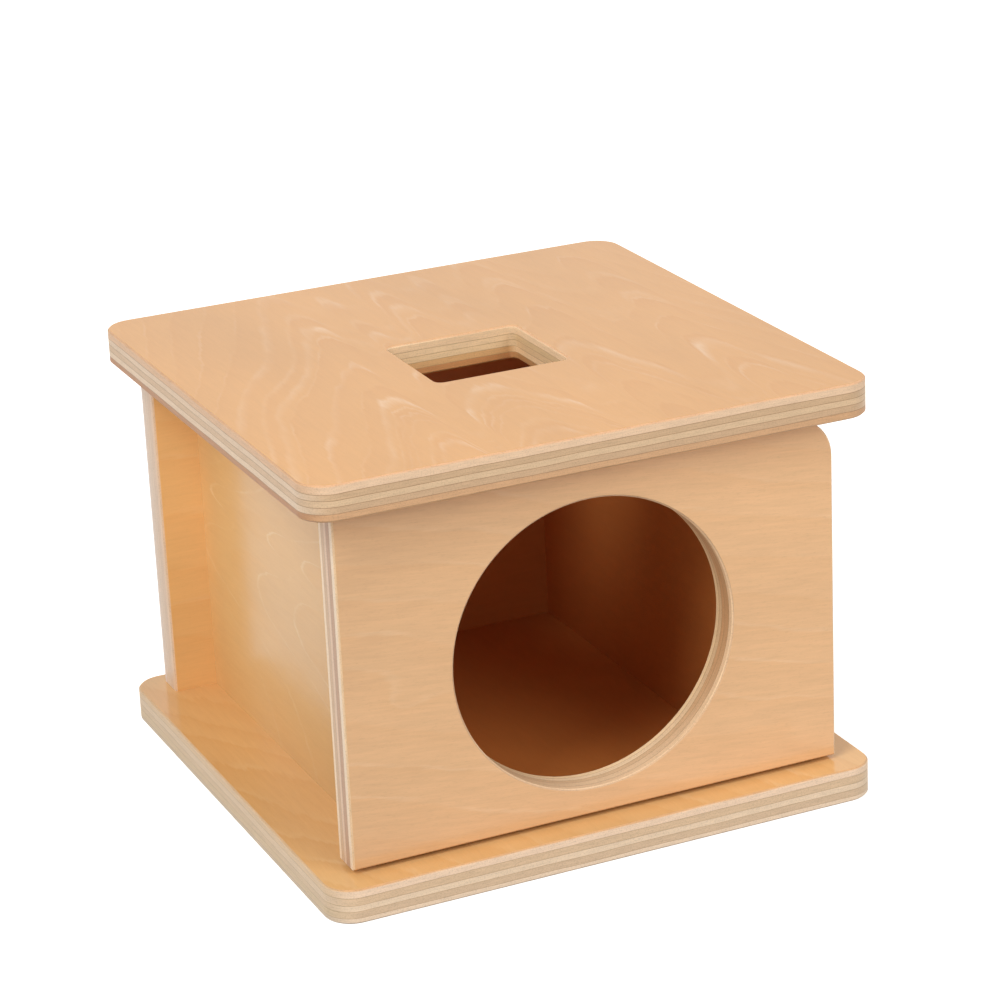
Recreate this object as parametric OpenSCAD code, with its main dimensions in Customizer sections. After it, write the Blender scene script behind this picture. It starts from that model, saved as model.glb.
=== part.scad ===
// Object permanence box: a plywood posting box for a toddler.
// A base plate and a top plate hold a back panel and two side walls between
// them. The front is a door that turns on two blind steel pins near its left
// end. The child posts a block through the top and takes it out at the front.
// Millimetres. X runs along the front to the right, Y to the back, Z up.
// The origin is on the table, under the middle of the base plate.

/* [Plates] */
// Width of the base plate and the top plate, left to right
plate_w = 198; // [170:1:240]
// Depth of the base plate and the top plate, front to back
plate_d = 196; // [170:1:240]
// Height of the box, from the table to the top face
box_h = 148; // [135:1:200]
// Thickness of the plywood that all the boards are cut from
board_t = 12; // [11:0.5:15]
// Radius of the plates' upright corners
plate_corner_r = 10; // [3:1:25]
// Width of the eased edge that is sanded on every free edge
edge_ease = 0.6; // [0.2:0.1:1.2]

/* [Posting hole] */
// Width of the posting hole in the top plate
post_w = 48; // [30:1:80]
// Depth of the posting hole, front to back
post_d = 44; // [30:1:80]
// Radius of the posting hole's corners
post_corner_r = 2.5; // [1:0.5:8]
// How far the posting hole's middle lies ahead of the plate's middle
post_forward = 3.5; // [0:0.5:12]

/* [Uprights] */
// How far the plates reach past the door's front face
front_overhang = 10; // [4:0.5:18]
// How far the plates reach past the back panel's rear face
back_overhang = 6; // [3:0.5:18]
// How far the plates reach past the ends of the door and the back panel
side_overhang = 11; // [4:0.5:18]
// How far the side walls stand in from the ends of the door and the back panel
wall_recess = 15.5; // [15:0.5:24]

/* [Door] */
// Diameter of the round hand hole
hand_hole_d = 100; // [60:1:110]
// How far the hand hole's centre lies below the middle of the door
hand_hole_drop = 1.5; // [0:0.5:4]
// Radius of the door's one rounded corner, the top one at its free end
door_corner_r = 14; // [4:1:20]
// Gap under the door
door_gap_below = 1.5; // [0.6:0.1:3]
// Gap over the door
door_gap_above = 1; // [0.6:0.1:2]
// Gap between the closed door and the front ends of the side walls
door_stop_gap = 0.4; // [0.3:0.1:1]

/* [Pivot pins] */
// Distance from the door's left end to the pins' centre line
pivot_inset = 8; // [7:0.5:9]
// Diameter of the pins
pin_d = 5; // [3:0.5:6]
// Length of each pin
pin_len = 20; // [16:1:26]
// Depth of the blind holes for the pins in the plates
pin_hole_depth = 9; // [5:0.5:10]
// Gap all round between a pin and its hole in the plate, in which it turns
pin_running_gap = 0.06; // [0.02:0.01:0.1]
// Gap all round between a pin and its hole in the door, in which it is driven
pin_driven_gap = 0.01; // [0.005:0.005:0.02]
// Gap left between the end of a pin and the bottom of its hole
pin_end_gap = 0.2; // [0.1:0.05:0.3]
// Chamfer on the ends of the pins
pin_chamfer = 0.5; // [0.2:0.1:1]

/* [Dowels] */
// Diameter of the glued dowels
dowel_d = 6; // [4:0.5:8]
// Length of each dowel
dowel_len = 30; // [20:1:40]
// How far a dowel reaches into the base plate or the top plate
dowel_seat = 8; // [4:0.5:9]
// Chamfer on the ends of the dowels
dowel_chamfer = 0.8; // [0.3:0.1:1.5]
// Gap all round between a dowel and its hole, filled with glue
dowel_glue_gap = 0.04; // [0.02:0.01:0.1]
// Gap left for glue between the end of a dowel and the bottom of its hole
dowel_end_gap = 0.5; // [0.2:0.1:1]
// Distance from the end of a board to the middle of its outermost dowel
dowel_end_dist = 28; // [12:1:40]
// Dowels along each edge of a side wall
wall_dowel_count = 2; // [2:1:4]
// Dowels along each edge of the back panel
back_dowel_count = 3; // [2:1:5]

/* [Hidden] */
$fn = 96;

// How far a cutting shape runs past the face that it cuts
overrun = 1;

// Levels of the two plates' inner faces
base_top = board_t;
top_underside = box_h - board_t;
upright_h = top_underside - base_top;

// Door and back panel
panel_w = plate_w - 2 * side_overhang;
door_front = -plate_d / 2 + front_overhang;
door_rear = door_front + board_t;
door_bottom = base_top + door_gap_below;
door_h = upright_h - door_gap_below - door_gap_above;
back_rear = plate_d / 2 - back_overhang;
back_front = back_rear - board_t;

// Side walls
wall_outer = panel_w / 2 - wall_recess;
wall_front = door_rear + door_stop_gap;
wall_len = back_front - wall_front;

// Pivot line of the door
pivot_x = -panel_w / 2 + pivot_inset;
pivot_y = (door_front + door_rear) / 2;
pin_in_plate = pin_hole_depth - pin_end_gap;

// Places of the dowels along a board of length len, measured from its middle
function dowel_places(len, count) = [
    for (i = [0 : count - 1])
        (len - 2 * dowel_end_dist) * (i / (count - 1) - 1 / 2)
];

// Section of a bar of width w and thickness t with eased long edges
function eased_section(w, t) = [
    [-w / 2, edge_ease],
    [-w / 2 + edge_ease, 0],
    [w / 2 - edge_ease, 0],
    [w / 2, edge_ease],
    [w / 2, t - edge_ease],
    [w / 2 - edge_ease, t],
    [-w / 2 + edge_ease, t],
    [-w / 2, t - edge_ease]
];

// Section of a cut of width w through a board of thickness t, flared at both
// faces so that it leaves eased edges
function flared_section(w, t) = [
    [-w / 2 - edge_ease - overrun, -overrun],
    [w / 2 + edge_ease + overrun, -overrun],
    [w / 2, edge_ease],
    [w / 2, t - edge_ease],
    [w / 2 + edge_ease + overrun, t + overrun],
    [-w / 2 - edge_ease - overrun, t + overrun],
    [-w / 2, t - edge_ease],
    [-w / 2, edge_ease]
];

// Puts its children at the four corners of a w by d rectangle
module at_corners(w, d) {
    for (x = [-w / 2, w / 2], y = [-d / 2, d / 2])
        translate([x, y, 0])
            children();
}

// Bar along Y that lies on z = 0, from a section in X and Z
module bar_along_y(section, len) {
    rotate([90, 0, 0])
        linear_extrude(height = len, center = true)
            polygon(section);
}

// Disc that stands on z = 0, with eased edges
module eased_disc(r, t) {
    rotate_extrude()
        polygon([
            [0, 0],
            [r - edge_ease, 0],
            [r, edge_ease],
            [r, t - edge_ease],
            [r - edge_ease, t],
            [0, t]
        ]);
}

// Round cut through a board of thickness t, flared at both faces
module flared_bore(r, t) {
    rotate_extrude()
        polygon([
            [0, -overrun],
            [r + edge_ease + overrun, -overrun],
            [r, edge_ease],
            [r, t - edge_ease],
            [r + edge_ease + overrun, t + overrun],
            [0, t + overrun]
        ]);
}

// Round rod that stands on z = 0, chamfered at both ends
module chamfered_rod(d, len, chamfer) {
    rotate_extrude()
        polygon([
            [0, 0],
            [d / 2 - chamfer, 0],
            [d / 2, chamfer],
            [d / 2, len - chamfer],
            [d / 2 - chamfer, len],
            [0, len]
        ]);
}

// Board of the plates' outline, lying on z = 0
module plate_board() {
    bar_along_y(eased_section(plate_w, board_t), plate_d - 2 * plate_corner_r);
    rotate([0, 0, 90])
        bar_along_y(eased_section(plate_d, board_t), plate_w - 2 * plate_corner_r);
    at_corners(plate_w - 2 * plate_corner_r, plate_d - 2 * plate_corner_r)
        eased_disc(plate_corner_r, board_t);
}

// The posting hole, cut down through a board that lies on z = 0
module posting_cut() {
    translate([0, -post_forward, 0]) {
        bar_along_y(flared_section(post_w, board_t), post_d - 2 * post_corner_r);
        rotate([0, 0, 90])
            bar_along_y(flared_section(post_d, board_t), post_w - 2 * post_corner_r);
        at_corners(post_w - 2 * post_corner_r, post_d - 2 * post_corner_r)
            flared_bore(post_corner_r, board_t);
    }
}

// Puts its children under each dowel of the left wall, of the right wall or
// of the back panel, in plan
module at_wall_dowels(side) {
    wall_middle = side * (wall_outer - board_t / 2);
    for (place = dowel_places(wall_len, wall_dowel_count))
        translate([wall_middle, (wall_front + back_front) / 2 + place, 0])
            children();
}

module at_back_dowels() {
    for (place = dowel_places(panel_w, back_dowel_count))
        translate([place, (back_front + back_rear) / 2, 0])
            children();
}

module at_all_dowels() {
    at_wall_dowels(-1) children();
    at_wall_dowels(1) children();
    at_back_dowels() children();
}

// One dowel, in the joint with the base plate or in that with the top plate
module lower_dowel() {
    translate([0, 0, base_top - dowel_seat])
        chamfered_rod(dowel_d, dowel_len, dowel_chamfer);
}

module upper_dowel() {
    translate([0, 0, top_underside + dowel_seat - dowel_len])
        chamfered_rod(dowel_d, dowel_len, dowel_chamfer);
}

// The holes that hold those dowels, through both boards of the joint
module lower_dowel_hole() {
    translate([0, 0, base_top - dowel_seat - dowel_end_gap])
        cylinder(d = dowel_d + 2 * dowel_glue_gap, h = dowel_len + 2 * dowel_end_gap);
}

module upper_dowel_hole() {
    translate([0, 0, top_underside + dowel_seat + dowel_end_gap])
        mirror([0, 0, 1])
            cylinder(d = dowel_d + 2 * dowel_glue_gap, h = dowel_len + 2 * dowel_end_gap);
}

// Blind hole in a plate for a pivot pin, going up from z = 0
module pivot_hole() {
    translate([pivot_x, pivot_y, -overrun])
        cylinder(d = pin_d + 2 * pin_running_gap, h = pin_hole_depth + overrun);
}

// The lower pin stands at the bottom of its hole; the upper pin mirrors it
module lower_pin() {
    translate([pivot_x, pivot_y, base_top - pin_in_plate])
        chamfered_rod(pin_d, pin_len, pin_chamfer);
}

module upper_pin() {
    translate([pivot_x, pivot_y, top_underside + pin_in_plate - pin_len])
        chamfered_rod(pin_d, pin_len, pin_chamfer);
}

// Holes in the door's lower and upper edges that the pins are driven into
module driven_pin_holes() {
    lower_end = base_top - pin_in_plate + pin_len + pin_end_gap;
    upper_end = top_underside + pin_in_plate - pin_len - pin_end_gap;
    hole_d = pin_d + 2 * pin_driven_gap;
    translate([pivot_x, pivot_y, door_bottom - overrun])
        cylinder(d = hole_d, h = lower_end - door_bottom + overrun);
    translate([pivot_x, pivot_y, upper_end])
        cylinder(d = hole_d, h = door_bottom + door_h + overrun - upper_end);
}

// Stands a board that lies on z = 0 upright, with its upper face to the front
// at y = front and its lower edge at z = bottom
module stand_up(front, bottom, height) {
    translate([0, front + board_t, bottom + height / 2])
        rotate([90, 0, 0])
            children();
}

// The door's board, lying down: eased all round, one corner rounded
module door_board() {
    corner_x = panel_w / 2 - door_corner_r;
    corner_y = door_h / 2 - door_corner_r;
    difference() {
        intersection() {
            bar_along_y(eased_section(panel_w, board_t), door_h);
            rotate([0, 0, 90])
                bar_along_y(eased_section(door_h, board_t), panel_w);
        }
        translate([corner_x, corner_y, -overrun])
            cube([door_corner_r + overrun, door_corner_r + overrun, board_t + 2 * overrun]);
    }
    translate([corner_x, corner_y, 0])
        eased_disc(door_corner_r, board_t);
}

// Side wall: side is -1 for the left one and 1 for the right one
module side_wall(side) {
    wall_middle = side * (wall_outer - board_t / 2);
    difference() {
        translate([wall_middle - board_t / 2, wall_front, base_top])
            cube([board_t, wall_len, upright_h]);
        wall_front_eases(wall_middle);
        at_wall_dowels(side) {
            lower_dowel_hole();
            upper_dowel_hole();
        }
    }
}

// Cuts that ease the two upright edges of a side wall's front end
module wall_front_eases(wall_middle) {
    for (x = [wall_middle - board_t / 2, wall_middle + board_t / 2])
        translate([x, wall_front, base_top - overrun])
            rotate([0, 0, 45])
                translate([-edge_ease / sqrt(2), -edge_ease / sqrt(2), 0])
                    cube([edge_ease * sqrt(2), edge_ease * sqrt(2), upright_h + 2 * overrun]);
}

module base_plate() {
    color([0.90, 0.68, 0.45])
        difference() {
            plate_board();
            translate([0, 0, base_top])
                mirror([0, 0, 1])
                    pivot_hole();
            at_all_dowels() lower_dowel_hole();
        }
}

module top_plate() {
    color([0.90, 0.73, 0.55])
        difference() {
            translate([0, 0, top_underside]) {
                difference() {
                    plate_board();
                    posting_cut();
                    pivot_hole();
                }
            }
            at_all_dowels() upper_dowel_hole();
        }
}

module back_panel() {
    color([0.86, 0.62, 0.40])
        difference() {
            stand_up(back_front, base_top, upright_h)
                bar_along_y(eased_section(panel_w, board_t), upright_h);
            at_back_dowels() {
                lower_dowel_hole();
                upper_dowel_hole();
            }
        }
}

module left_wall() {
    color([0.85, 0.69, 0.52])
        side_wall(-1);
}

module right_wall() {
    color([0.85, 0.69, 0.52])
        side_wall(1);
}

module front_door() {
    color([0.87, 0.71, 0.56])
        difference() {
            stand_up(door_front, door_bottom, door_h)
                difference() {
                    door_board();
                    translate([0, -hand_hole_drop, 0])
                        flared_bore(hand_hole_d / 2, board_t);
                }
            driven_pin_holes();
        }
}

module lower_pivot_pin() {
    color([0.75, 0.76, 0.78])
        lower_pin();
}

module upper_pivot_pin() {
    color([0.75, 0.76, 0.78])
        upper_pin();
}

module left_wall_lower_dowels() {
    color([0.80, 0.62, 0.44])
        at_wall_dowels(-1) lower_dowel();
}

module left_wall_upper_dowels() {
    color([0.80, 0.62, 0.44])
        at_wall_dowels(-1) upper_dowel();
}

module right_wall_lower_dowels() {
    color([0.80, 0.62, 0.44])
        at_wall_dowels(1) lower_dowel();
}

module right_wall_upper_dowels() {
    color([0.80, 0.62, 0.44])
        at_wall_dowels(1) upper_dowel();
}

module back_panel_lower_dowels() {
    color([0.80, 0.62, 0.44])
        at_back_dowels() lower_dowel();
}

module back_panel_upper_dowels() {
    color([0.80, 0.62, 0.44])
        at_back_dowels() upper_dowel();
}

base_plate();
top_plate();
back_panel();
left_wall();
right_wall();
front_door();
lower_pivot_pin();
upper_pivot_pin();
left_wall_lower_dowels();
left_wall_upper_dowels();
right_wall_lower_dowels();
right_wall_upper_dowels();
back_panel_lower_dowels();
back_panel_upper_dowels();
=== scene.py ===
"""Looks of the object permanence box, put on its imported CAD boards, pins and dowels.

Five-ply birch plywood under a satin lacquer makes every board. The door turns
on two drawn steel pins, and beech dowels hold the case together. The CAD
nodes keep their shapes, so this file gives finishes, the studio and the camera.
"""

import logging
import math
from dataclasses import dataclass
from enum import Enum
from typing import Any

import bmesh
import bpy
from mathutils import Matrix, Vector


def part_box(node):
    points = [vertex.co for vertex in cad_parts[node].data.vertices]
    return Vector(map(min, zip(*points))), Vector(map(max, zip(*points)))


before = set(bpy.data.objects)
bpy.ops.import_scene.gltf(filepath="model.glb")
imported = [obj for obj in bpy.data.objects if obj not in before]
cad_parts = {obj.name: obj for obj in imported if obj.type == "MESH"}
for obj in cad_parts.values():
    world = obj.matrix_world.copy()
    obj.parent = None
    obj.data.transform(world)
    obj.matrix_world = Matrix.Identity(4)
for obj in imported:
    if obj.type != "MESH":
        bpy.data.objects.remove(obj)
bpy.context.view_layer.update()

LOG = logging.getLogger("object_permanence_box")
MM = 0.001

# A face is what lies this close to either side of a board, and all else is edge
FACE_DEPTH_MM = 0.02
# Width of the sanded arris round a board
ARRIS_MM = 0.6
# Half the width of a glue line, with the stain beside it
GLUE_MM = 0.16
# How far the plies wander over the length of an edge
WANDER_MM = 0.6
# How far a hole's region reaches past its walls, to take in its arrises
HOLE_SPARE_MM = 3.0
# How far the room's region reaches into the boards round it
ROOM_SPARE_MM = 0.1
# How far behind the front ends of the walls the room's region starts
ROOM_START_MM = 0.5
# How far a seed of 1 moves a board's random clouds along each of its axes, in lumps
SEED_STEP = (1.0, 1.7, 2.3)

Triple = tuple[float, float, float]
Tree = bpy.types.NodeTree
Node = bpy.types.Node
Socket = bpy.types.NodeSocket


def linear(code: str) -> tuple[float, float, float, float]:
    """Turns an sRGB hex colour into the linear colour that a shader takes.

    Args:
        code: The colour as written on a colour card, such as "#E7AB71".

    Returns:
        Linear red, green, blue and a full alpha.
    """
    shares = (int(code[i : i + 2], 16) / 255 for i in (1, 3, 5))
    red, green, blue = (s / 12.92 if s <= 0.04045 else ((s + 0.055) / 1.055) ** 2.4 for s in shares)
    return red, green, blue, 1.0


def set_stops(ramp: bpy.types.ColorRamp, stops: list[tuple[float, Any]]) -> None:
    """Sets the colours along a colour ramp.

    Args:
        ramp: The ramp.
        stops: Places from 0 to 1 and their colours, as hex codes or grey levels.
    """
    while len(ramp.elements) < len(stops):
        ramp.elements.new(1.0)
    for element, (place, _) in zip(ramp.elements, stops):
        element.position = min(max(place, 0.0), 1.0)
    for element, (_, colour) in zip(ramp.elements, stops):
        element.color = linear(colour) if isinstance(colour, str) else (colour, colour, colour, 1.0)


def add_node(
    tree: Tree,
    kind: str,
    inputs: dict[str, Any] | tuple[Any, ...] = (),
    stops: list[tuple[float, Any]] | None = None,
    **settings: Any,
) -> Node:
    """Adds one node to a tree, with its settings and what goes into it.

    Args:
        tree: The node tree of a material or of the world.
        kind: Blender's name of the node type, without "ShaderNode" before it.
        inputs: What goes into the node, by the inputs' names or in their
            order: a value, a socket, or a node that gives its first output.
        stops: Places and colours along the node's colour ramp, if it has one.
        settings: Properties of the node by name.

    Returns:
        The new node.
    """
    node = tree.nodes.new(f"ShaderNode{kind}")
    for name, value in settings.items():
        setattr(node, name, value)
    if stops:
        set_stops(node.color_ramp, stops)
    for name, value in (inputs if isinstance(inputs, dict) else dict(enumerate(inputs))).items():
        # Where a node has inputs of one name for several types, the one in use is enabled
        named = [socket for socket in node.inputs if socket.enabled and socket.name == name]
        socket = named[0] if named else node.inputs[name]
        if isinstance(value, Node):
            value = next(output for output in value.outputs if output.enabled)
        if isinstance(value, Socket):
            tree.links.new(value, socket)
        else:
            socket.default_value = value
    return node


class Lay(Enum):
    """How a board lies: the axes of its face grain, its width and its thickness."""

    FLAT = "YXZ"
    ACROSS = "XZY"
    ALONG = "YZX"


class Lumps(Enum):
    """What varies at random in the wood and its lacquer.

    Each has the size of its lumps along the grain, across it and through the
    board in millimetres, and how many finer layers lie on top.
    """

    SLOW_BEND = (85, 34, 60, 1)
    RIPPLE = (16, 5, 30, 2)
    FEATHERED_END = (9, 0.9, 30, 1)
    FADING = (24, 12, 40, 1)
    BROAD_DRIFT = (110, 45, 80, 2)
    SOFT_STREAK = (16, 1.8, 9, 2)
    FIBRE = (9, 0.6, 5, 2)
    FLECK = (1.6, 0.35, 2, 1)
    WANDERING_PLY = (25, 25, 9, 1)
    SAWN_FIBRE = (6, 6, 0.35, 2)
    OPEN_PORE = (0.5, 0.5, 0.35, 1)
    LACQUER_CLOUD = (22, 9, 20, 2)
    GRAIN_RELIEF = (5, 0.45, 2, 2)


@dataclass(frozen=True)
class Zone:
    """A box-shaped region of the object, in metres.

    Attributes:
        low: Its lowest corner.
        high: Its highest corner.
    """

    low: Triple
    high: Triple


def room_zone() -> Zone:
    """Works out the closed room between the plates, the walls and the back panel.

    Returns:
        The room, without the inner face of the door.
    """
    wall_low, wall_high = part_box("left_wall")
    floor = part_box("base_plate")[1][2]
    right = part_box("right_wall")[0][0]
    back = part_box("back_panel")[0][1]
    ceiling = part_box("top_plate")[0][2]
    spare = ROOM_SPARE_MM * MM
    return Zone(
        (wall_high[0] - spare, wall_low[1] + ROOM_START_MM * MM, floor - spare),
        (right + spare, back + spare, ceiling + spare),
    )


def hole_zone(node: str, size_mm: Triple, shift_mm: Triple) -> Zone:
    """Works out the region of a hole through a board.

    Args:
        node: The board.
        size_mm: The hole's size along each axis, in millimetres.
        shift_mm: Where its middle is, from the board's middle.

    Returns:
        The hole with its arrises.
    """
    low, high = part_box(node)
    middle = [(a + b) / 2 + shift * MM for a, b, shift in zip(low, high, shift_mm)]
    reach = [(size / 2 + HOLE_SPARE_MM) * MM for size in size_mm]
    return Zone(
        tuple(at - far for at, far in zip(middle, reach)),
        tuple(at + far for at, far in zip(middle, reach)),
    )


@dataclass(frozen=True)
class PlyEdge:
    """Colours of the five plies where a board's edge shows them, from its show face inwards.

    Attributes:
        arris_light_and_shade: The sanded arris next to the show face, lighter from the sanding, with painted
            highlight and shade.
        back_arris_light_and_shade: The sanded arris next to the other face, with painted highlight and shade.
        plies: The five plies.
        back_arris_light_and_shade: The sanded arris next to the other face.
        glue: The glue lines between the plies.
    """

    arris_light_and_shade: str
    plies: tuple[str, str, str, str, str]
    back_arris_light_and_shade: str
    glue: str


@dataclass(frozen=True)
class Figure:
    """Course of the growth rings over a face, in millimetres in the row frame.

    Attributes:
        ring: Distance between two faint pale lines of late growth.
        line: Width of those lines where they cross the grain.
        along: How fast the field grows along the grain.
        across: How fast the field grows across the grain.
        sway: How far slow bends in the grain push the rings about.
        ripple: How far small ripples push them.
        strong: The lines that stand out: place in the field, strength from 0
            to 1, and width.
        strong_far: The same for the high end across the grain, if it differs.
        change: Where across the grain the one set turns into the other.
        fall_near: Outline of the arches at the low end of the grain axis, as
            places across the grain and how far the rings fall back there.
        fall_far: The same at the high end.
        blend: Where along the grain the near outline turns into the far one.
        swirls: Lone eyes in the grain: place along, place across, length,
            width and how far the eye lifts the rings.
        painted_light: Painted light and shade along the grain: what the colour is multiplied by at its low
            and its high end, darker where less light falls.
        tones: Painted light and shade across the grain, the same way at its two ends.
        fibre: How clearly single fibres and flecks show, from 0 to 1.
        slant: Angle in degrees between the grain and the board's edge.
    """

    ring: float
    line: float
    along: float
    across: float
    sway: float
    ripple: float
    strong: tuple[Triple, ...] = ()
    strong_far: tuple[Triple, ...] = ()
    change: tuple[float, float] = (0.0, 1.0)
    fall_near: tuple[tuple[float, float], ...] = ()
    fall_far: tuple[tuple[float, float], ...] = ()
    blend: tuple[float, float] = (0.0, 1.0)
    swirls: tuple[tuple[float, float, float, float, float], ...] = ()
    painted_light: tuple[float, float] = (1.0, 1.0)
    tones: tuple[float, float] = (1.0, 1.0)
    fibre: float = 0.5
    slant: float = 0.0


@dataclass(frozen=True)
class Veneer:
    """Colours of a rotary-cut birch veneer.

    Attributes:
        ground: The broad early growth.
        late: The warmer growth just before a ring ends.
        pale: The thin pale line that ends a ring.
        line_strength: How clearly the pale lines stand out, from 0 to 1.
    """

    ground: str
    late: str
    pale: str
    line_strength: float


@dataclass(frozen=True)
class Finish:
    """A finish that one material is made of."""

    name: str

    def start(self) -> tuple[Tree, Node]:
        """Makes an empty material.

        Returns:
            Its node tree and its texture coordinates.
        """
        material = bpy.data.materials.new(self.name)
        material.use_nodes = True
        tree = material.node_tree
        tree.nodes.clear()
        return tree, add_node(tree, "TexCoord")

    @staticmethod
    def surface(tree: Tree, inputs: dict[str, Any]) -> None:
        """Ends a material with its surface, whose inputs are given by their names."""
        add_node(tree, "OutputMaterial", {"Surface": add_node(tree, "BsdfPrincipled", inputs)})

    def put_on(self, *nodes: str) -> None:
        """Dresses CAD nodes in this finish.

        Args:
            nodes: Their names.
        """
        self.build()
        for name in nodes:
            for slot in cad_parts[name].material_slots:
                slot.material = bpy.data.materials[self.name]
            LOG.info("%s wears %s", name, self.name)

    def build(self) -> None:
        """Builds the material's nodes."""
        raise NotImplementedError


@dataclass(frozen=True)
class Spot:
    """Where a point of a board's surface lies, as nodes of the board's material.

    Attributes:
        tree: The material's node tree.
        place: The texture coordinates, in metres in the row frame.
        board: The board's own millimetres: along the grain, across it, and
            down from the show face.
        along: The first of these by itself.
        across: The second.
        depth: The third.
    """

    tree: Tree
    place: Node
    board: Node
    along: Socket
    across: Socket
    depth: Socket

    def within(self, zone: Zone) -> Node:
        """Tells the points in a region from the others.

        Args:
            zone: The region.

        Returns:
            1 inside the region and 0 outside it.
        """
        centre = tuple((a + b) / 2 for a, b in zip(zone.low, zone.high))
        half = tuple((b - a) / 2 for a, b in zip(zone.low, zone.high))
        inputs = {"Vector": self.place.outputs["Object"], "Location": centre, "Scale": half}
        centred = add_node(self.tree, "Mapping", inputs, vector_type="TEXTURE")
        apart = add_node(self.tree, "VectorMath", (centred,), operation="ABSOLUTE")
        x, y, z = add_node(self.tree, "SeparateXYZ", (apart,)).outputs
        widest = add_node(self.tree, "Math", (x, y), operation="MAXIMUM")
        widest = add_node(self.tree, "Math", (widest, z), operation="MAXIMUM")
        return add_node(self.tree, "Math", (widest, 1.0), operation="LESS_THAN")


@dataclass(frozen=True)
class LacqueredPlywood(Finish):
    """Birch plywood, five plies, sanded and sprayed with a satin lacquer.

    To the eye that is a honey-coloured face with pale wavy ring lines and
    short fine flecks, and an edge with light and dark plies between dark glue
    lines, lighter where the arris is sanded, with painted highlight and shade on the arrises.

    Attributes:
        node: The CAD node of the board.
        lay: How the board lies.
        show_high: Whether the show face is the one at the high end of the axis.
        veneer: Colours of the two faces.
        figure: The growth rings on the faces.
        end_edge: The edges that cut across the face grain.
        side_edge: The edges that run along the face grain.
        joints: Depths of the glue lines below the show face, in millimetres.
        seed: Where in the patterns this board is cut from.
        hole: The region of a hole through the board, if it has one.
        hole_side_painted_light: The walls of that hole where they run along the face grain,
            paler than the outer edges as painted light, where the hole shades them.
        hole_end_painted_light: The same where they cut across the face grain.
        room_painted_shade: Painted shade inside the box, where little light gets in: what the colour is
            multiplied by there.
        room_shade_veil: How much of the rings that painted shade hides inside the box.
        edge_roughness: Roughness of the thirsty edges.
        cloud: How much the roughness varies.
        gloss: How much smoother the faces are than the edges.
        room_roughness: How much rougher the coat is inside the box.
        ior: How strongly the lacquer bends light.
        relief_mm: Height of the grain under the lacquer, in millimetres.
    """

    node: str
    lay: Lay
    show_high: bool
    veneer: Veneer
    figure: Figure
    end_edge: PlyEdge
    side_edge: PlyEdge
    joints: tuple[float, float, float, float] = (2.8, 5.2, 7.4, 9.6)
    seed: float = 0.0
    hole: Zone | None = None
    hole_side_painted_light: PlyEdge | None = None
    hole_end_painted_light: PlyEdge | None = None
    room_painted_shade: str = "#E9B892"
    room_shade_veil: float = 0.8
    edge_roughness: float = 0.42
    cloud: float = 0.08
    gloss: float = 0.3
    room_roughness: float = 0.2
    ior: float = 1.5
    relief_mm: float = 0.012

    def ends(self, letter: str) -> tuple[float, float]:
        """Finds the board's low and high end along an axis, in millimetres."""
        low, high = (corner["XYZ".index(letter)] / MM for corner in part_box(self.node))
        return low, high

    def build(self) -> None:
        """Builds the material's nodes."""
        tree, place = self.start()
        low, high = self.ends(self.lay.value[2])
        split = add_node(tree, "SeparateXYZ", (place.outputs["Object"],))
        turned = add_node(tree, "CombineXYZ", tuple(split.outputs[letter] for letter in self.lay.value))
        sign = -1 if self.show_high else 1
        start = high if self.show_high else low
        board = add_node(
            tree,
            "Mapping",
            {
                "Vector": turned,
                "Location": (0, 0, -sign * start),
                "Rotation": (0, 0, math.radians(self.figure.slant)),
                "Scale": (1 / MM, 1 / MM, sign / MM),
            },
        )
        spot = Spot(tree, place, board, *add_node(tree, "SeparateXYZ", (board,)).outputs)
        # Inside the box the colour is darkened as painted shade, where little light gets in, and the rings
        # fade with it; the coat there is one coat only, not sanded back, and so duller
        room = spot.within(room_zone())
        from_back = add_node(tree, "Math", (spot.depth, -1.0, high - low), operation="MULTIPLY_ADD")
        nearest = add_node(tree, "Math", (spot.depth, from_back), operation="MINIMUM")
        is_face = add_node(tree, "Math", (nearest, FACE_DEPTH_MM), operation="LESS_THAN")
        edge = self.edge_colour(spot, high - low)
        face = self.face_colour(spot, room)
        colour = add_node(tree, "Mix", {"Factor": is_face, "A": edge, "B": face}, data_type="RGBA")
        rough, bump = self.lacquer(spot, is_face, room)
        self.surface(
            tree,
            {
                # Painted shade: inside the box the colour is multiplied by the room's painted shade
                "Base Color": self.times(spot, colour, linear(self.room_painted_shade), room),
                "Roughness": rough,
                "IOR": self.ior,
                "Normal": bump,
            },
        )

    @staticmethod
    def times(spot: Spot, colour: Node, shade: Any, share: Any = 1.0) -> Node:
        """Multiplies a colour by a shade, fully or by a share from 0 to 1."""
        inputs = {"Factor": share, "A": colour, "B": shade}
        return add_node(spot.tree, "Mix", inputs, data_type="RGBA", blend_type="MULTIPLY")

    def random(self, spot: Spot, lumps: Lumps) -> Node:
        """Random cloud whose lumps have their real size.

        Args:
            spot: The point of the surface.
            lumps: The kind of lumps.

        Returns:
            A value around 0.5.
        """
        *sizes, layers = lumps.value
        moved = add_node(
            spot.tree,
            "Mapping",
            {
                "Vector": spot.board,
                "Location": tuple(self.seed * step for step in SEED_STEP),
                "Scale": tuple(1 / size for size in sizes),
            },
        )
        return add_node(spot.tree, "TexNoise", {"Vector": moved, "Scale": 1.0, "Detail": layers})

    def shaded(
        self,
        spot: Spot,
        colour: Node,
        lumps: Lumps,
        dark: tuple[float, float],
        light: tuple[float, float],
        share: float = 1.0,
    ) -> Node:
        """Shades a colour in random lumps: dark and light are each a random value and the shade there."""
        shade = add_node(spot.tree, "ValToRGB", (self.random(spot, lumps),), [dark, light])
        return self.times(spot, colour, shade, share)

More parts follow.
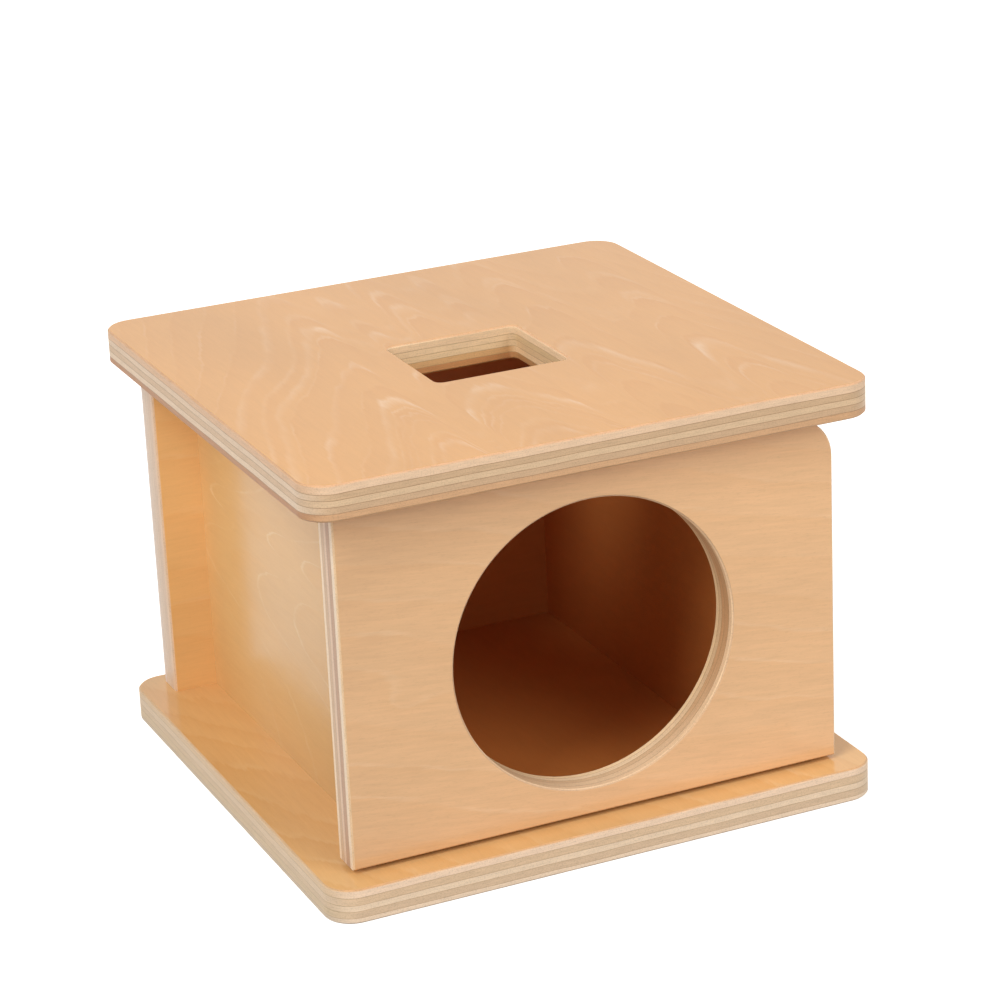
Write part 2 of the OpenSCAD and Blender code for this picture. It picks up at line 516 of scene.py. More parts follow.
    @staticmethod
    def fall(spot: Spot, across: Socket | Node, outline: tuple[tuple[float, float], ...]) -> Node:
        """How far the rings fall back at a place across the grain.

        Args:
            spot: The point of the surface.
            across: The place across the grain, in millimetres.
            outline: The arches' outline.

        Returns:
            The fall in millimetres.
        """
        first, last = outline[0][0], outline[-1][0]
        width = last - first
        deepest = max(back for _, back in outline)
        share = add_node(spot.tree, "Math", (across, 1 / width, -first / width), operation="MULTIPLY_ADD")
        curve = add_node(spot.tree, "FloatCurve", {"Value": share})
        points = curve.mapping.curves[0].points
        while len(points) < len(outline):
            points.new(0.5, 0.5)
        for point, (at, back) in zip(points, outline):
            point.location = ((at - first) / width, back / deepest)
        curve.mapping.update()
        return add_node(spot.tree, "Math", (curve, deepest), operation="MULTIPLY")

    def arches(self, spot: Spot, across: Socket | Node) -> Node:
        """How far the rings fall back on the face, with the near and the far arches blended.

        Args:
            spot: The point of the surface.
            across: The place across the grain, in millimetres.

        Returns:
            The fall in millimetres.
        """
        figure = self.figure
        near = self.fall(spot, across, figure.fall_near)
        far = self.fall(spot, across, figure.fall_far or figure.fall_near)
        inputs = {"Value": spot.along, "From Min": figure.blend[0], "From Max": figure.blend[1]}
        share = add_node(spot.tree, "MapRange", inputs, interpolation_type="SMOOTHSTEP")
        change = add_node(spot.tree, "Math", (near, -1.0, far), operation="MULTIPLY_ADD")
        return add_node(spot.tree, "Math", (change, share, near), operation="MULTIPLY_ADD")

    def crests(self, spot: Spot, fallen: Node, step_mm: float = 2.0, gain: float = 0.06) -> Node:
        """Finds the crests of the arches, where a ring is cut flat and shows broad and pale.

        Args:
            spot: The point of the surface.
            fallen: How far the rings fall back there.
            step_mm: How far to either side the bend of an arch is felt out.
            gain: How much a bend of a millimetre counts.

        Returns:
            How clearly a ring shows, from 0.1 in the hollows to 1 on a crest.
        """
        steps = (-step_mm, step_mm)
        sides = [add_node(spot.tree, "Math", (spot.across, step), operation="ADD") for step in steps]
        both = add_node(spot.tree, "Math", tuple(self.arches(spot, side) for side in sides), operation="ADD")
        bend = add_node(spot.tree, "Math", (fallen, -2.0, both), operation="MULTIPLY_ADD")
        share = add_node(spot.tree, "Math", (bend, gain, 0.5), operation="MULTIPLY_ADD")
        return add_node(spot.tree, "ValToRGB", (share,), [(0.2, 0.1), (0.48, 0.45), (0.66, 1.0)])

    def bend_rings(self, spot: Spot, rings: Node) -> Node:
        """Bends the rings round lone eyes, and by what varies in the wood.

        Args:
            spot: The point of the surface.
            rings: The field of the rings, in millimetres.

        Returns:
            The bent field.
        """
        figure = self.figure
        for at_along, at_across, length, width, lift in figure.swirls:
            # An eye is so deep that it goes right through the board
            size = (length, width, 1e6)
            inputs = {"Vector": spot.board, "Location": (at_along, at_across, 0), "Scale": size}
            centred = add_node(spot.tree, "Mapping", inputs, vector_type="TEXTURE")
            eye = add_node(spot.tree, "TexGradient", (centred,), gradient_type="SPHERICAL").outputs["Fac"]
            eased = add_node(spot.tree, "Math", (eye, eye), operation="MULTIPLY")
            rings = add_node(spot.tree, "Math", (eased, lift, rings), operation="MULTIPLY_ADD")
        feather = figure.line * 1.6
        for lumps, reach in (
            (Lumps.SLOW_BEND, figure.sway),
            (Lumps.RIPPLE, figure.ripple),
            (Lumps.FEATHERED_END, feather),
        ):
            wave = self.random(spot, lumps)
            rings = add_node(spot.tree, "Math", (wave, reach, rings), operation="MULTIPLY_ADD")
        return rings

    @staticmethod
    def bold_lines(spot: Spot, rings: Node, strong: tuple[Triple, ...], margin_mm: float = 20.0) -> Node:
        """Finds the lines that stand out, feathered on one side and sharper on the other.

        Args:
            spot: The point of the surface.
            rings: The field of the rings, in millimetres.
            strong: The lines: place in the field, strength and width.
            margin_mm: How far the field is drawn past the first and the last line.

        Returns:
            Their strength at a place, from 0 to 1.
        """
        first = strong[0][0] - margin_mm
        width = strong[-1][0] + margin_mm - first
        feathered, sharper = 0.6, 0.35
        stops = []
        for at, power, wide in strong:
            stops += [(at - wide * feathered, 0.0), (at, power), (at + wide * sharper, 0.0)]
        share = add_node(spot.tree, "Math", (rings, 1 / width, -first / width), operation="MULTIPLY_ADD")
        return add_node(spot.tree, "ValToRGB", (share,), [((at - first) / width, grey) for at, grey in stops])

    def ring_colour(self, spot: Spot, rings: Node, clear: Node) -> Node:
        """Colour of the veneer with its rings.

        Args:
            spot: The point of the surface.
            rings: The field of the rings, in millimetres.
            clear: How clearly a ring shows, from 0 to 1.

        Returns:
            The colour.
        """
        figure, tree = self.figure, spot.tree
        count = add_node(tree, "Math", (rings, 1 / figure.ring), operation="MULTIPLY")
        ring = add_node(tree, "Math", (count,), operation="FRACT")
        width = figure.line / figure.ring
        stops = [(0, 0.8), (width * 0.3, 1.0), (width, 0.0), (1 - width * 0.4, 0.0), (1, 0.8)]
        line = add_node(tree, "ValToRGB", (ring,), stops)
        # Each line has its own strength, and fades in and out on its way
        shifted = add_node(tree, "Math", (count, width * 0.4), operation="ADD")
        which = add_node(tree, "Math", (shifted,), operation="FLOOR")
        own = add_node(tree, "TexWhiteNoise", {"W": which}, noise_dimensions="1D").outputs["Value"]
        fading = add_node(tree, "ValToRGB", (self.random(spot, Lumps.FADING),), [(0.4, 0.1), (0.62, 1.0)])
        strength = add_node(tree, "Math", (own, fading), operation="MULTIPLY")
        strength = add_node(tree, "Math", (strength, self.veneer.line_strength), operation="MULTIPLY")
        strength = add_node(tree, "Math", (strength, clear), operation="MULTIPLY")
        lines = add_node(tree, "Math", (line, strength), operation="MULTIPLY")
        if figure.strong:
            bold = self.bold_lines(spot, rings, figure.strong)
            if figure.strong_far:
                far = self.bold_lines(spot, rings, figure.strong_far)
                limits = {"Value": spot.across, "From Min": figure.change[0], "From Max": figure.change[1]}
                share = add_node(tree, "MapRange", limits)
                bold = add_node(tree, "Mix", {"Factor": share, "A": bold, "B": far}, data_type="RGBA")
            faded = add_node(tree, "Math", (fading, 0.35), operation="MAXIMUM")
            bold = add_node(tree, "Math", (bold, faded), operation="MULTIPLY")
            bold = add_node(tree, "Math", (bold, clear), operation="MULTIPLY")
            lines = add_node(tree, "Math", (lines, bold), operation="MAXIMUM")
        late = add_node(tree, "ValToRGB", (ring,), [(0, 0.1), (0.2, 0.0), (0.7, 0.55), (0.92, 1.0), (1, 0.3)])
        half_clear = add_node(tree, "Math", (clear, 0.5), operation="MULTIPLY")
        late = add_node(tree, "Math", (late, half_clear), operation="MULTIPLY")
        ground, warm, pale = (linear(c) for c in (self.veneer.ground, self.veneer.late, self.veneer.pale))
        colour = add_node(tree, "Mix", {"Factor": late, "A": ground, "B": warm}, data_type="RGBA")
        return add_node(tree, "Mix", {"Factor": lines, "A": colour, "B": pale}, data_type="RGBA")

    def face_colour(self, spot: Spot, room: Node) -> Node:
        """Colour of the face veneer.

        Args:
            spot: The point of the surface.
            room: 1 inside the box and 0 outside.

        Returns:
            The colour.
        """
        figure, tree = self.figure, spot.tree
        rings = add_node(tree, "Math", (spot.along, figure.along), operation="MULTIPLY")
        rings = add_node(tree, "Math", (spot.across, figure.across, rings), operation="MULTIPLY_ADD")
        # Inside the box the painted shade hides much of the rings
        clear = add_node(tree, "Math", (room, -self.room_shade_veil, 1.0), operation="MULTIPLY_ADD")
        if figure.fall_near:
            fallen = self.arches(spot, spot.across)
            rings = add_node(tree, "Math", (rings, fallen), operation="ADD")
            clear = add_node(tree, "Math", (clear, self.crests(spot, fallen)), operation="MULTIPLY")
        colour = self.ring_colour(spot, self.bend_rings(spot, rings), clear)
        colour = self.shaded(spot, colour, Lumps.BROAD_DRIFT, (0.3, 0.94), (0.7, 1.04))
        # Painted light and shade: the colour grows lighter or darker from one end of the board to the other,
        # along and across the grain, where more or less light falls
        ways = (spot.along, spot.across)
        for letter, way, painted_light in zip(self.lay.value, ways, (figure.painted_light, figure.tones)):
            low, high = self.ends(letter)
            slope = add_node(tree, "MapRange", (way, low, high, *painted_light))
            colour = self.times(spot, colour, slope)
        for lumps, dark, light in (
            (Lumps.SOFT_STREAK, (0.3, 0.965), (0.7, 1.035)),
            (Lumps.FIBRE, (0.3, 0.97), (0.7, 1.03)),
            (Lumps.FLECK, (0.25, 0.93), (0.42, 1.0)),
        ):
            colour = self.shaded(spot, colour, lumps, dark, light, figure.fibre)
        return colour

    def plies(self, spot: Spot, depth: Node, edge: PlyEdge, thickness: float) -> Node:
        """Colour of one kind of edge by its depth below the show face.

        Args:
            spot: The point of the surface.
            depth: The depth in millimetres, with the plies' wandering.
            edge: The edge's colours.
            thickness: The board's thickness in millimetres.

        Returns:
            The colour.
        """
        # The arrises carry painted highlight and shade along with the lighter sanding
        stops = [(ARRIS_MM / 2, edge.arris_light_and_shade), (ARRIS_MM, edge.plies[0])]
        for joint, above, below in zip(self.joints, edge.plies, edge.plies[1:]):
            stops += [(joint - GLUE_MM, above), (joint, edge.glue), (joint + GLUE_MM, below)]
        stops += [(thickness - ARRIS_MM, edge.plies[-1]), (thickness - ARRIS_MM / 2, edge.back_arris_light_and_shade)]
        share = add_node(spot.tree, "Math", (depth, 1 / thickness), operation="MULTIPLY")
        return add_node(spot.tree, "ValToRGB", (share,), [(at / thickness, colour) for at, colour in stops])

    def edge_colour(self, spot: Spot, thickness: float) -> Node:
        """Colour of the board's edges, holes and arrises.

        Args:
            spot: The point of the surface.
            thickness: The board's thickness in millimetres.

        Returns:
            The colour.
        """
        tree = spot.tree
        lowest = add_node(tree, "Math", (spot.depth, -WANDER_MM / 2), operation="ADD")
        lumps = self.random(spot, Lumps.WANDERING_PLY)
        uneven = add_node(tree, "Math", (lumps, WANDER_MM, lowest), operation="MULTIPLY_ADD")
        # An edge that faces along the grain cuts across the face grain
        grain = tuple(1.0 if letter == self.lay.value[0] else 0.0 for letter in "XYZ")
        facing = add_node(tree, "VectorMath", (spot.place.outputs["Normal"], grain), operation="DOT_PRODUCT")
        along = facing.outputs["Value"]
        share = add_node(tree, "Math", (along, along), operation="MULTIPLY")
        colours = []
        for side, end in ((self.side_edge, self.end_edge), (self.hole_side_painted_light, self.hole_end_painted_light)):
            if side and end:
                sides = self.plies(spot, uneven, side, thickness)
                ends = self.plies(spot, uneven, end, thickness)
                inputs = {"Factor": share, "A": sides, "B": ends}
                colours.append(add_node(tree, "Mix", inputs, data_type="RGBA"))
        colour = colours[0]
        # Painted light: the hole's walls take paler colours than the outer edges, for the light that the hole
        # keeps off them
        if self.hole:
            walls = {"Factor": spot.within(self.hole), "A": colour, "B": colours[1]}
            colour = add_node(tree, "Mix", walls, data_type="RGBA")
        colour = self.shaded(spot, colour, Lumps.SAWN_FIBRE, (0.3, 0.91), (0.7, 1.06))
        return self.shaded(spot, colour, Lumps.OPEN_PORE, (0.3, 0.84), (0.5, 1.0))

    def lacquer(self, spot: Spot, is_face: Node, room: Node) -> tuple[Node, Node]:
        """Satin lacquer: glossier on the faces than on the thirsty edges, over a faint grain.

        Args:
            spot: The point of the surface.
            is_face: 1 on the faces and 0 on the edges.
            room: 1 inside the box and 0 outside.

        Returns:
            Its roughness and its relief.
        """
        tree = spot.tree
        clouds = self.random(spot, Lumps.LACQUER_CLOUD)
        rough = add_node(tree, "Math", (clouds, self.cloud, self.edge_roughness), operation="MULTIPLY_ADD")
        rough = add_node(tree, "Math", (is_face, -self.gloss, rough), operation="MULTIPLY_ADD")
        rough = add_node(tree, "Math", (room, self.room_roughness, rough), operation="MULTIPLY_ADD")
        relief = self.random(spot, Lumps.GRAIN_RELIEF)
        inputs = {"Strength": 0.25, "Distance": self.relief_mm * MM, "Height": relief}
        return rough, add_node(tree, "Bump", inputs)


@dataclass(frozen=True)
class DrawnSteel(Finish):
    """Bright steel rod, cold drawn: fine lines run along it, and the cut ends are the same grey.

    Attributes:
        colour: The bright steel.
        dull: The steel in the drawing lines.
        line_mm: Width of a drawing line, in millimetres.
        length_mm: Length of a drawing line.
        relief_mm: Depth of a drawing line.
    """

    colour: str = "#B9BBBD"
    dull: str = "#A6A8AA"
    line_mm: float = 0.12
    length_mm: float = 50 / 3
    relief_mm: float = 0.01

    def build(self) -> None:
        """Builds the material's nodes."""
        tree, place = self.start()
        sizes = (self.line_mm, self.line_mm, self.length_mm)
        scale = tuple(1 / (size * MM) for size in sizes)
        lines = add_node(tree, "Mapping", {"Vector": place.outputs["Object"], "Scale": scale})
        wear = add_node(tree, "TexNoise", {"Vector": lines, "Scale": 1.0, "Detail": 2.0})
        inputs = {"Strength": 0.2, "Distance": self.relief_mm * MM, "Height": wear}
        self.surface(
            tree,
            {
                "Base Color": add_node(tree, "ValToRGB", (wear,), [(0.0, self.dull), (1.0, self.colour)]),
                "Metallic": 1.0,
                "Roughness": add_node(tree, "Math", (wear, 0.22, 0.2), operation="MULTIPLY_ADD"),
                "Normal": add_node(tree, "Bump", inputs),
            },
        )


@dataclass(frozen=True)
class TurnedBeech(Finish):
    """Raw beech dowel rod: pinkish tan, with short darker ray flecks along it.

    Attributes:
        colour: The wood between the rays.
        fleck: The rays.
        ray_mm: Width of a ray, in millimetres.
        length_mm: Length of a ray.
        relief_mm: Depth of a ray.
    """

    colour: str = "#D2A57C"
    fleck: str = "#A9754C"
    ray_mm: float = 0.3
    length_mm: float = 2.0
    relief_mm: float = 0.05

    def build(self) -> None:
        """Builds the material's nodes."""
        tree, place = self.start()
        sizes = (self.ray_mm, self.ray_mm, self.length_mm)
        scale = tuple(1 / (size * MM) for size in sizes)
        stretched = add_node(tree, "Mapping", {"Vector": place.outputs["Object"], "Scale": scale})
        rays = add_node(tree, "TexNoise", {"Vector": stretched, "Scale": 1.0, "Detail": 2.0})
        inputs = {"Strength": 0.3, "Distance": self.relief_mm * MM, "Height": rays}
        self.surface(
            tree,
            {
                "Base Color": add_node(tree, "ValToRGB", (rays,), [(0.3, self.fleck), (0.5, self.colour)]),
                "Roughness": 0.6,
                "Normal": add_node(tree, "Bump", inputs),
            },
        )


@dataclass(frozen=True)
class BackdropPaper(Finish):
    """Matt white paper, a little darker as a light than to the camera.

    Attributes:
        seen: Its colour to the camera and in mirror images.
        lit: Its colour as it lights the object.
        glow: How much it glows to the camera, just enough to come out white where it is lit.
        faint_glow: The same in mirror images.
    """

    seen: str = "#F4F3F1"
    lit: str = "#B8B7B5"
    glow: float = 0.6
    faint_glow: float = 0.2

    def build(self) -> None:
        """Builds the material's nodes."""
        tree, _ = self.start()
        path = add_node(tree, "LightPath")
        camera = path.outputs["Is Camera Ray"]
        bounced = (path.outputs["Is Glossy Ray"], path.outputs["Is Transmission Ray"])
        mirrored = add_node(tree, "Math", bounced, operation="MAXIMUM")
        seen = add_node(tree, "Math", (camera, mirrored), operation="MAXIMUM")
        faint = add_node(tree, "Math", (mirrored, self.faint_glow), operation="MULTIPLY")
        glow = add_node(tree, "Math", (camera, self.glow, faint), operation="MULTIPLY_ADD")
        tones = {"Factor": seen, "A": linear(self.lit), "B": linear(self.seen)}
        self.surface(
            tree,
            {
                "Base Color": add_node(tree, "Mix", tones, data_type="RGBA"),
                "Roughness": 0.9,
                "Specular IOR Level": 0.1,
                "Emission Color": linear("#FFFFFF"),
                "Emission Strength": glow,
            },
        )


@dataclass
class Plates:
    """The base plate and the top plate, both lying flat with their grain to the back.

    Attributes:
        posting_hole_mm: Size of the posting hole through the top plate, in millimetres.
        posting_forward_mm: How far it lies ahead of the plate's middle.
        top_veneer: Colours of the top plate's faces.
        base_veneer: Colours of the base plate's faces.
        top_figure: Growth rings of the top plate.
        base_figure: Growth rings of the base plate.
    """

    posting_hole_mm: Triple = (48.0, 44.0, 12.0)
    posting_forward_mm: float = 3.5
    top_veneer: Veneer = Veneer("#DFA35C", "#D89850", "#EABD8E", 0.45)
    base_veneer: Veneer = Veneer("#E2B378", "#DCA96B", "#E9C494", 0.5)
    top_figure: Figure = Figure(
        ring=30.0,
        line=3.0,
        strong=(
            (-66, 0.7, 8), (-57, 0.5, 5), (-42, 0.5, 3), (-35, 0.5, 3), (-28, 0.6, 3),
            (-18, 1.0, 11), (29, 1.0, 10), (74, 1.0, 14), (92, 0.6, 10), (120, 0.7, 16),
        ),
        strong_far=((-10, 0.5, 6), (20, 1.0, 18), (98, 0.3, 14), (126, 0.4, 12)),
        change=(8.0, 22.0),
        along=1.0,
        across=0.0,
        sway=14.0,
        ripple=9.0,
        fall_near=(
            (-99, 150), (-87, 110), (-78, 78), (-69, 60), (-59, 34), (-51, 12), (-43, 0), (-38, 22),
            (-33, 44), (-27, 24), (-20, 12), (-12, 6), (-4, 16), (6, 34), (17, 60), (23, 40), (29, 10),
            (36, 26), (46, 58), (56, 80), (62, 66), (70, 40), (78, 62), (90, 100), (99, 132),
        ),
        fall_far=(
            (-99, 180), (-87, 140), (-75, 104), (-62, 76), (-52, 48), (-44, 22), (-37, 8), (-31, 26),
            (-26, 34), (-22, 24), (-14, 38), (-8, 18), (-2, 0), (4, 18), (11, 32), (17, 24), (24, 40),
            (32, 26), (39, 12), (47, 36), (58, 66), (66, 70), (74, 52), (84, 90), (99, 140),
        ),
        blend=(-35.0, 35.0),
    )
    base_figure: Figure = Figure(
        ring=14.0,
        line=2.5,
        along=0.5,
        across=1.0,
        sway=30.0,
        ripple=5.0,
        # Painted light and shade: darker towards the back and the left, under the top plate, lighter towards
        # the front and the right
        painted_light=(0.98, 0.96),
        tones=(0.94, 1.04),
    )

    def dress(self) -> None:
        """Puts the plywood on both plates."""
        LacqueredPlywood(
            name="birch_plywood_lacquered_top_plate",
            node="top_plate",
            lay=Lay.FLAT,
            show_high=True,
            veneer=self.top_veneer,
            figure=self.top_figure,
            end_edge=PlyEdge(
                "#F1C098", ("#E6C5A4", "#CBAA86", "#D8B995", "#CAA885", "#CEA279"), "#EFC490", "#97714E"
            ),
            side_edge=PlyEdge(
                "#CB9D73", ("#CFA987", "#D3B99E", "#C8AA8B", "#D5BCA1", "#AE7F5B"), "#AD8464", "#907256"
            ),
            joints=(2.9, 5.0, 7.2, 9.4),
            seed=3.1,
            hole=hole_zone("top_plate", self.posting_hole_mm, (0.0, -self.posting_forward_mm, 0.0)),
            # Painted light on the walls of the posting hole
            hole_side_painted_light=PlyEdge(
                "#E2B184", ("#F0D0A9", "#DBBD91", "#DFBF94", "#EFCDA1", "#BB8C5D"), "#C6996A", "#B08C64"
            ),
            hole_end_painted_light=PlyEdge(
                "#DEB087", ("#E9C9A2", "#EBCCA3", "#E9CA9F", "#DAAD78", "#C68C59"), "#DDB269", "#B08C64"
            ),
        ).put_on("top_plate")
        LacqueredPlywood(
            name="birch_plywood_lacquered_base_plate",
            node="base_plate",
            lay=Lay.FLAT,
            show_high=True,
            veneer=self.base_veneer,
            figure=self.base_figure,
            end_edge=PlyEdge(
                "#E6AA75", ("#F0D3B7", "#DABC9A", "#E9D0B3", "#D5B99A", "#EBD2B7"), "#E0C6AA", "#B59675"
            ),
            side_edge=PlyEdge(
                "#C29D73", ("#D1B593", "#D2BA9E", "#CBB294", "#CBB494", "#C6B29B"), "#C2AE99", "#AD9475"
            ),
            joints=(2.8, 5.4, 7.6, 10.0),
            seed=11.7,
        ).put_on("base_plate")


@dataclass
class Uprights:
    """The back panel and the two side walls, glued between the plates.

    Attributes:
        back_veneer_painted_light: Colours of the back panel's faces, lighter than the other boards as painted
            light for the shaded bays beside the walls.
        wall_veneer: Colours of the walls' faces.
        back_figure: Growth rings of the back panel.
        wall_figure: Growth rings of the walls.
        walls: Node of each wall, whether it shows its high face, and its seed.
    """

    # Painted light: lighter than the other boards, for the shaded bays where the back panel shows
    back_veneer_painted_light: Veneer = Veneer("#F8C988", "#F5C07E", "#FAD39C", 0.35)
    wall_veneer: Veneer = Veneer("#CFA46D", "#CE9F64", "#DDC096", 0.3)
    back_figure: Figure = Figure(
        ring=17.0,
        line=2.0,
        along=0.15,
        across=1.0,
        sway=26.0,
        ripple=5.0,
        # Painted shade: darker towards the bottom
        tones=(0.93, 1.02),
    )
    wall_figure: Figure = Figure(
        ring=60.0,
        line=1.5,
        strong=((1, 0.7, 3), (33, 0.7, 3), (87, 0.6, 4)),
        along=1.0,
        across=0.0,
        sway=6.0,
        ripple=4.0,
        # Painted light and shade: lighter towards the back and the top, darker towards the front and the
        # bottom
        painted_light=(0.92, 1.26),
        tones=(0.86, 1.08),
        fall_near=(
            (12, 100), (25, 90), (38, 76), (47, 56), (56, 22), (62, 5), (69, 0), (76, 8),
            (84, 32), (90, 12), (97, 36), (106, 62), (116, 80), (136, 110),
        ),
    )
    walls: tuple[tuple[str, bool, float], ...] = (("left_wall", False, 37.3), ("right_wall", True, 51.9))

    def dress(self) -> None:
        """Puts the plywood on the three boards."""
        LacqueredPlywood(
            name="birch_plywood_lacquered_back_panel",
            node="back_panel",
            lay=Lay.ACROSS,
            show_high=False,
            veneer=self.back_veneer_painted_light,
            figure=self.back_figure,
            end_edge=PlyEdge(
                "#DEB996", ("#DABB9E", "#D0B59E", "#D3BBA5", "#D5BEAA", "#D9C7BB"), "#DECEC5", "#C4A891"
            ),
            side_edge=PlyEdge(
                "#E4BE9A", ("#DFC2A4", "#D0B295", "#DFC5A8", "#CFB296", "#E0C6AA"), "#E4CCB4", "#B99C80"
            ),
            seed=23.9,
            # Painted shade inside the box
            room_painted_shade="#DDAC8A",
        ).put_on("back_panel")
        for node, show_high, seed in self.walls:
            LacqueredPlywood(
                name=f"birch_plywood_lacquered_{node}",
                node=node,
                lay=Lay.ALONG,
                show_high=show_high,
                veneer=self.wall_veneer,
                figure=self.wall_figure,
                end_edge=PlyEdge(
                    "#ECC9A2", ("#E8CBAE", "#C9AB8E", "#DEC1A3", "#C9AC8F", "#E6CAAD"), "#ECC9A2", "#B4967A"
                ),
                side_edge=PlyEdge(
                    "#ECC9A2", ("#DCC0A2", "#DCC4A8", "#D2B79B", "#DAC1A5", "#DABE9F"), "#ECC9A2", "#B4967A"
                ),
                seed=seed,
                # Painted shade inside the box
                room_painted_shade="#F6C09A",
                gloss=0.25,
            ).put_on(node)


@dataclass
class Door:
    """The front board with its hand hole, and the two pins that it turns on.

    Attributes:
        hand_hole_mm: Size of the hand hole through the board, in millimetres.
        hand_hole_drop_mm: How far it lies below the board's middle.
        veneer: Colours of the board's faces.
        figure: Growth rings of the board.
    """

    hand_hole_mm: Triple = (100.0, 12.0, 100.0)
    hand_hole_drop_mm: float = 1.5
    veneer: Veneer = Veneer("#E1B384", "#DFAE7D", "#E8C298", 0.4)
    figure: Figure = Figure(
        ring=13.0,
        line=1.4,
        along=0.16,
        across=1.0,
        sway=16.0,
        ripple=3.0,
        # Painted light: lighter towards the right end, darker towards the left
        painted_light=(0.94, 1.06),
        fibre=0.9,
        slant=6.0,
        swirls=((-74.0, 60.0, 26.0, 12.0, 11.0), (66.0, 38.0, 40.0, 14.0, -8.0)),
    )

    def dress(self) -> None:
        """Puts the plywood on the board and the steel on its pins."""
        LacqueredPlywood(
            name="birch_plywood_lacquered_front_door",
            node="front_door",
            lay=Lay.ACROSS,
            show_high=False,
            veneer=self.veneer,
            figure=self.figure,
            end_edge=PlyEdge(
                "#D7BA95", ("#E3CDB3", "#B7947B", "#D6B9A0", "#C6A688", "#E5CDB0"), "#E4CDAF", "#A2856E"
            ),
            side_edge=PlyEdge(
                "#E6BD92", ("#E8C59C", "#DFBD94", "#D6B38C", "#E8C9A0", "#E6C59B"), "#DCB68A", "#B28C64"
            ),
            joints=(2.7, 5.5, 7.5, 9.6),
            seed=67.1,
            hole=hole_zone("front_door", self.hand_hole_mm, (0.0, 0.0, -self.hand_hole_drop_mm)),
            # Painted light on the walls of the hand hole
            hole_side_painted_light=PlyEdge(
                "#D6B08B", ("#F0CEA7", "#EECEA8", "#E5C39B", "#F8DCB7", "#FFE0B4"), "#EECB9A", "#BC936B"
            ),
            hole_end_painted_light=PlyEdge(
                "#D4AE87", ("#F2D0A7", "#CEA276", "#D3A578", "#DFBD92", "#F3D3A5"), "#EECB9A", "#A57C55"
            ),
        ).put_on("front_door")
        DrawnSteel("drawn_steel_pivot_pins").put_on("lower_pivot_pin", "upper_pivot_pin")


@dataclass
class Dowels:
    """The glued dowels that hold the uprights between the plates.

    Attributes:
        boards: The boards that they hold.
        levels: The ends of a board that they sit in.
    """

    boards: tuple[str, ...] = ("left_wall", "right_wall", "back_panel")
    levels: tuple[str, ...] = ("lower", "upper")

    def dress(self) -> None:
        """Puts the beech on every dowel."""
        nodes = [f"{board}_{level}_dowels" for board in self.boards for level in self.levels]
        TurnedBeech("raw_beech_dowel_rod").put_on(*nodes)


@dataclass(frozen=True)
class SoftBox:
    """A square soft box that lights the object, hidden behind the tent.

    Attributes:
        name: Its name.
        place_m: Where it hangs, in metres.
        side_m: The side of the square.
        power_w: Its power in watts.
        colour: Its colour.
    """

    name: str
    place_m: Triple
    side_m: float
    power_w: float
    colour: str = "#FFFEFC"

    def hang(self, aim_m: Triple) -> None:
        """Hangs the soft box.

        Args:
            aim_m: The point that it faces.
        """
        data = bpy.data.lights.new(self.name, "AREA")
        data.shape = "SQUARE"
        data.size = self.side_m
        data.energy = self.power_w
        data.color = linear(self.colour)[:3]
        lamp = bpy.data.objects.new(self.name, data)
        lamp.location = self.place_m
        lamp.rotation_euler = (Vector(aim_m) - Vector(self.place_m)).to_track_quat("-Z", "Y").to_euler()
        bpy.context.scene.collection.objects.link(lamp)
        # The tent hides its lamps, so a mirror image shows plain white and no hot spot
        lamp.visible_glossy = False
        LOG.info("%s hangs in the tent", self.name)


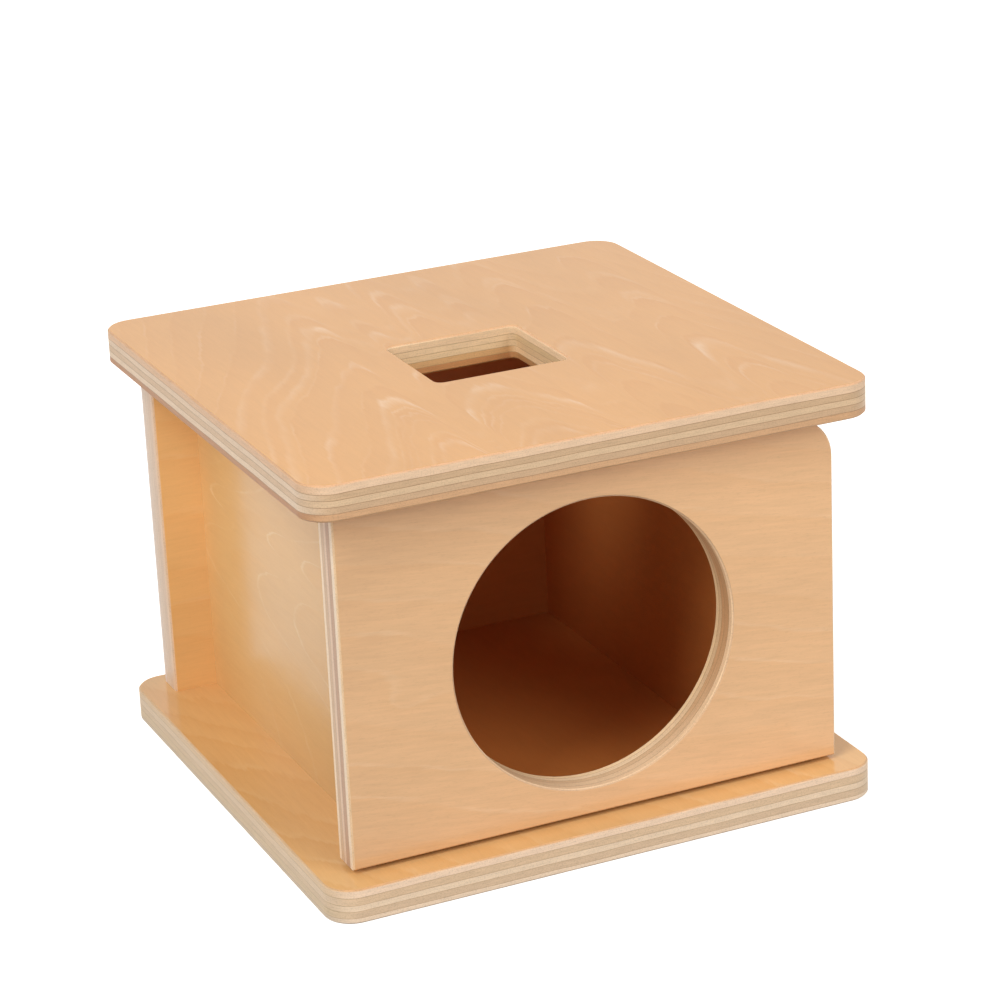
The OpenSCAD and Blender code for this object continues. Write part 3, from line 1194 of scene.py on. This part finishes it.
@dataclass
class Studio:
    """A light tent on a pale table, and the camera.

    Attributes:
        floor_m: Radius of the floor.
        tent_strength: How strongly the light tent lights the object.
        lamps: The soft boxes.
        aim_m: The point that the lamps face.
        camera_m: Where the camera stands.
        turn: Turn, tilt and roll of the camera's view, in radians.
        focal_px: Focal length in pixels of a picture as wide as picture_px.
        picture_px: Width of that picture.
        sensor_mm: Width of the camera's sensor.
    """

    floor_m: float = 6.0
    tent_strength: float = 0.39
    lamps: tuple[SoftBox, ...] = (
        SoftBox("front_softbox", (0.62, -1.33, 0.92), 0.9, 11.4, "#FFFDFA"),
        SoftBox("left_softbox", (-1.72, -0.98, 2.2), 1.1, 37.4),
        SoftBox("low_left_softbox", (-1.5, -0.6, 0.75), 0.6, 7.0),
        SoftBox("right_softbox", (1.6, 0.1, 0.4), 0.9, 6.0),
        SoftBox("back_softbox", (-0.9, 1.4, 0.4), 0.9, 6.0),
    )
    aim_m: Triple = (0.0, 0.0, 0.07)
    camera_m: Triple = (-0.432034, -0.995704, 0.497253)
    turn: Triple = (0.41577, 0.35577, -0.04621)
    focal_px: float = 3388.3
    picture_px: int = 1000
    sensor_mm: float = 36.0

    def build(self) -> None:
        """Builds the floor, the light and the camera."""
        self.floor()
        self.tent()
        for lamp in self.lamps:
            lamp.hang(self.aim_m)
        self.camera()
        bpy.context.scene.view_settings.view_transform = "Standard"

    def floor(self) -> None:
        """Lays a matt white table that keeps the box's shadow."""
        mesh = bpy.data.meshes.new("studio_floor")
        shape = bmesh.new()
        bmesh.ops.create_circle(shape, cap_ends=True, segments=64, radius=self.floor_m)
        shape.to_mesh(mesh)
        shape.free()
        table = bpy.data.objects.new("studio_floor", mesh)
        bpy.context.scene.collection.objects.link(table)
        paper = BackdropPaper("matt_white_paper_backdrop")
        paper.build()
        mesh.materials.append(bpy.data.materials[paper.name])
        LOG.info("%s wears %s", table.name, paper.name)

    def tent(self) -> None:
        """Hangs the tent: white to the camera and in reflections, softer as a light."""
        world = bpy.data.worlds.new("light_tent")
        bpy.context.scene.world = world
        world.use_nodes = True
        tree = world.node_tree
        tree.nodes.clear()
        rays = add_node(tree, "LightPath").outputs
        seen = add_node(tree, "Math", (rays["Is Camera Ray"], rays["Is Glossy Ray"]), operation="MAXIMUM")
        seen = add_node(tree, "Math", (seen, rays["Is Transmission Ray"]), operation="MAXIMUM")
        strength = add_node(tree, "MapRange", {"Value": seen, "To Min": self.tent_strength, "To Max": 1.0})
        light = add_node(tree, "Background", {"Color": linear("#FFFFFF"), "Strength": strength})
        add_node(tree, "OutputWorld", {"Surface": light})
        LOG.info("%s is up", world.name)

    def camera(self) -> None:
        """Stands the camera at the photograph's point of view."""
        data = bpy.data.cameras.new("studio_camera")
        data.sensor_width = self.sensor_mm
        data.lens = self.focal_px / self.picture_px * self.sensor_mm
        camera = bpy.data.objects.new("studio_camera", data)
        azimuth, drop, roll = self.turn
        level_look = Vector((math.sin(azimuth), math.cos(azimuth), 0.0))
        look = level_look * math.cos(drop) - Vector((0, 0, 1)) * math.sin(drop)
        level = look.cross(Vector((0, 0, 1))).normalized()
        up = level.cross(look)
        right = level * math.cos(roll) + up * math.sin(roll)
        up = up * math.cos(roll) - level * math.sin(roll)
        turned = Matrix((right, up, -look)).transposed().to_4x4()
        camera.matrix_world = Matrix.Translation(self.camera_m) @ turned
        bpy.context.scene.collection.objects.link(camera)
        bpy.context.scene.camera = camera
        LOG.info("%s stands", camera.name)


def main() -> None:
    """Builds the studio and dresses the box, one sub-assembly after another."""
    logging.basicConfig(level=logging.INFO, format="%(message)s")
    Studio().build()
    for assembly in (Plates(), Uprights(), Door(), Dowels()):
        assembly.dress()


if __name__ == "__main__":
    main()
